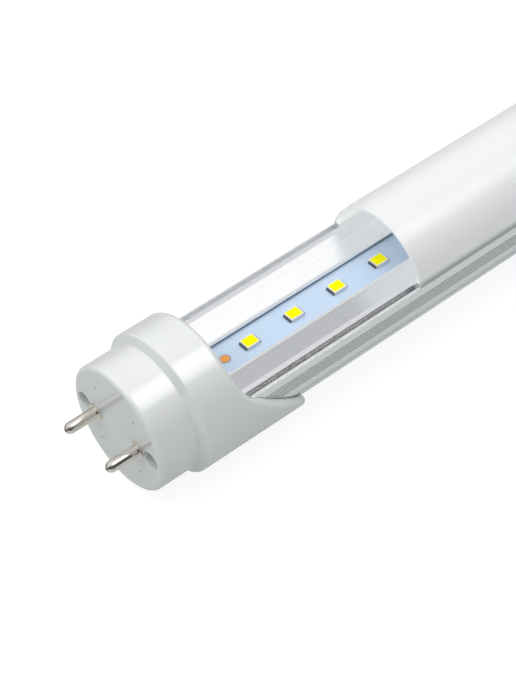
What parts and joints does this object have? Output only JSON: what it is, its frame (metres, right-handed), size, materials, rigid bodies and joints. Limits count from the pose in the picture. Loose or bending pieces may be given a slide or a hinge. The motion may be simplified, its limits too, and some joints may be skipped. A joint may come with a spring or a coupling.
{
  "type": "tube light",
  "caption": "Tube light with a bare-ended aluminium body, milky half-round cover, row of light packages and two-pin caps.",
  "frame": {"origin": "middle of the tube's axis, halfway between the two cap faces", "axes": "+X along the tube away from the open end, +Z the way the light leaves, +Y across the tube"},
  "size_m": [0.6042, 0.03, 0.03],
  "materials": {
    "bare_aluminium": "satin, as extruded",
    "milky_cover": "milky, faintly see-through",
    "board_mask": "pale solder mask on an aluminium core",
    "bare_copper": "bare copper",
    "pad_edge": "tinned",
    "led_housing": "moulded white",
    "phosphor": "yellow silicone",
    "solder": "tinned",
    "cap_plastic": "moulded, half gloss",
    "pin_nickel": "nickel plated",
    "screw_steel": "zinc plated",
    "sleeve_film": "clear film",
    "driver_laminate": "glass-fibre laminate",
    "fuse_body": "lacquered",
    "film_case": "moulded",
    "chip_black": "moulded",
    "can_sleeve": "shrink sleeve on a can",
    "ferrite": "sintered",
    "winding_tape": "wrapped in tape",
    "wire_white": "insulated",
    "wire_black": "insulated",
    "wire_red": "insulated"
  },
  "bodies": {
    "root": {"heat_sink": "bare_aluminium", "diffuser": "milky_cover", "led_board": "board_mask", "board_pads": "bare_copper", "board_pad_rings": "pad_edge", "led_packages": "led_housing", "led_phosphors": "phosphor", "led_leads": "solder", "end_cap_left": "cap_plastic", "end_cap_right": "cap_plastic", "pin_left_front": "pin_nickel", "pin_left_rear": "pin_nickel", "pin_right_front": "pin_nickel", "pin_right_rear": "pin_nickel", "end_screws_left": "screw_steel", "end_screws_right": "screw_steel", "driver_sleeve": "sleeve_film", "driver_board": "driver_laminate", "driver_fuse": "fuse_body", "film_capacitor": "film_case", "bridge_rectifier": "chip_black", "bulk_capacitor": "can_sleeve", "driver_chip": "chip_black", "transformer_core": "ferrite", "transformer_winding": "winding_tape", "output_diode": "chip_black", "output_capacitor": "can_sleeve", "mains_wire_front": "wire_white", "mains_wire_rear": "wire_white", "led_wire_front": "wire_black", "led_wire_rear": "wire_red"}
  },
  "joints": []
}
